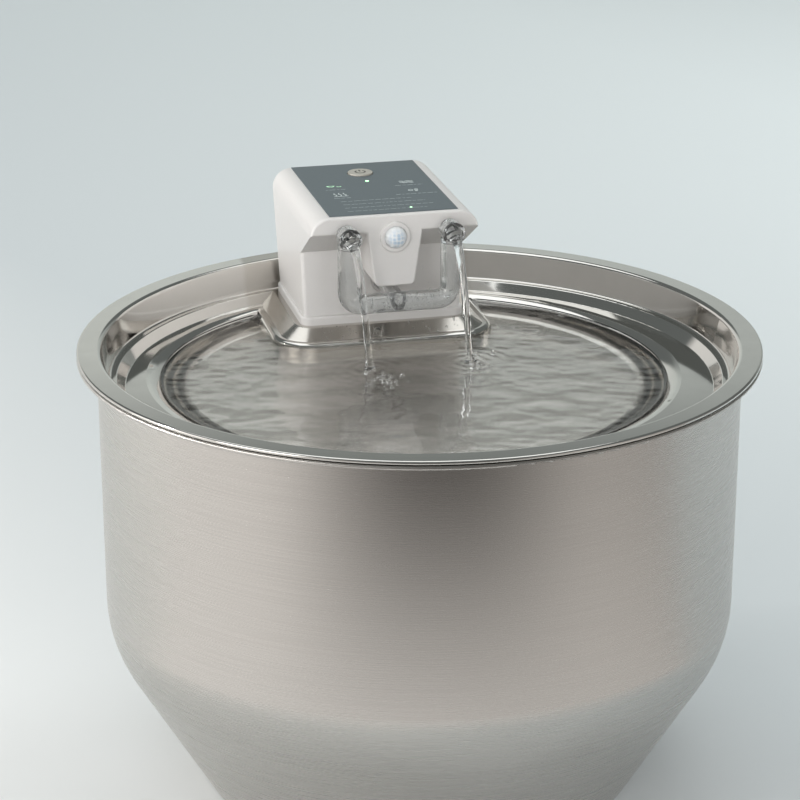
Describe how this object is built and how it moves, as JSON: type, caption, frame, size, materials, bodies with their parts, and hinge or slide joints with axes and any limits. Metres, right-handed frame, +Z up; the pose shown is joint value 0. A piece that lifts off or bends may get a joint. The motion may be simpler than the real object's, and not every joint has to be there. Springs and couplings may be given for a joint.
{
  "type": "pet water fountain",
  "caption": "Deep steel bowl with a lift-off steel drinking tray, and a white cordless pump module whose clear U-shaped divider feeds two spouts.",
  "frame": {"origin": "centre of the bowl's foot, on the floor", "axes": "+Z up along the bowl's axis; the pump module is at +Y and the open drinking side is at -Y"},
  "size_m": [0.3, 0.3, 0.2502],
  "materials": {
    "brushed_steel": "stainless steel, brushed round the bowl",
    "polished_steel": "stainless steel, polished",
    "white_plastic": "satin white moulded plastic",
    "silicone": "translucent silicone",
    "screw_steel": "plated steel",
    "panel_film": "grey printed film, satin",
    "button_plastic": "grey button with a beige ring",
    "dark_plastic": "black moulded plastic",
    "light_guide": "clear light guide",
    "board": "green solder mask",
    "milky_lens": "milky lens plastic",
    "sensor_can": "metal can",
    "cell_wrap": "shrink sleeve",
    "port_metal": "plated steel shell",
    "white_rubber": "soft white rubber",
    "clear_plastic": "clear plastic",
    "copper_winding": "enamelled copper, potted",
    "magnet_plastic": "plastic-bonded magnet",
    "ceramic": "ceramic",
    "foam": "open-cell foam",
    "filter_fabric": "non-woven pouch in a frame"
  },
  "bodies": {
    "bowl": {"reservoir_bowl": "brushed_steel"},
    "tray": {"drinking_tray": "polished_steel"},
    "module": {"main_shell": "white_plastic", "base_plate": "white_plastic", "housing_seal": "silicone", "housing_screws": "screw_steel", "control_panel": "panel_film", "tact_switch": "dark_plastic", "status_lights": "light_guide", "main_board": "board", "sensor_ring": "white_plastic", "sensor_lens": "milky_lens", "motion_sensor": "sensor_can", "sensor_board": "board", "battery_cells": "cell_wrap", "battery_tray": "dark_plastic", "charging_port": "port_metal", "outlet_fitting": "dark_plastic", "outlet_seal": "silicone", "outlet_hose": "silicone", "pump_column": "white_plastic", "pump_body": "dark_plastic", "pump_stator": "copper_winding", "impeller_shaft": "ceramic", "pump_cover": "dark_plastic"},
    "water_divider": {"manifold": "clear_plastic", "spout_left": "clear_plastic", "spout_right": "clear_plastic"},
    "power_button": {"power_button": "button_plastic"},
    "port_flap": {"port_flap": "white_rubber"},
    "impeller": {"impeller": "magnet_plastic"},
    "filter_drawer": {"filter_drawer": "white_plastic", "filter_sponge": "foam", "filter_cartridge": "filter_fabric"}
  },
  "joints": [
    {"name": "tray_lift", "type": "slide", "parent": "bowl", "child": "tray", "axis": [0, 0, 1], "range_m": [0, 0.165]},
    {"name": "module_lift", "type": "slide", "parent": "tray", "child": "module", "axis": [0, 0, 1], "range_m": [0, 0.15]},
    {"name": "divider_pull", "type": "slide", "parent": "module", "child": "water_divider", "axis": [0, -1, 0], "range_m": [0, 0.015]},
    {"name": "power_press", "type": "slide", "parent": "module", "child": "power_button", "axis": [0, 0, -1], "range_m": [0, 0.0006], "stiffness_N_per_m": 800},
    {"name": "port_flap_hinge", "type": "hinge", "parent": "module", "child": "port_flap", "pos_m": [0, 0.13423, 0.21775], "axis": [-1, 0, 0], "range_deg": [0, 100]},
    {"name": "impeller_spin", "type": "hinge", "parent": "module", "child": "impeller", "pos_m": [0, 0.097, 0.12], "axis": [0, 0, 1], "continuous": true},
    {"name": "filter_pull", "type": "slide", "parent": "module", "child": "filter_drawer", "axis": [0, -1, 0], "range_m": [0, 0.036]}
  ]
}
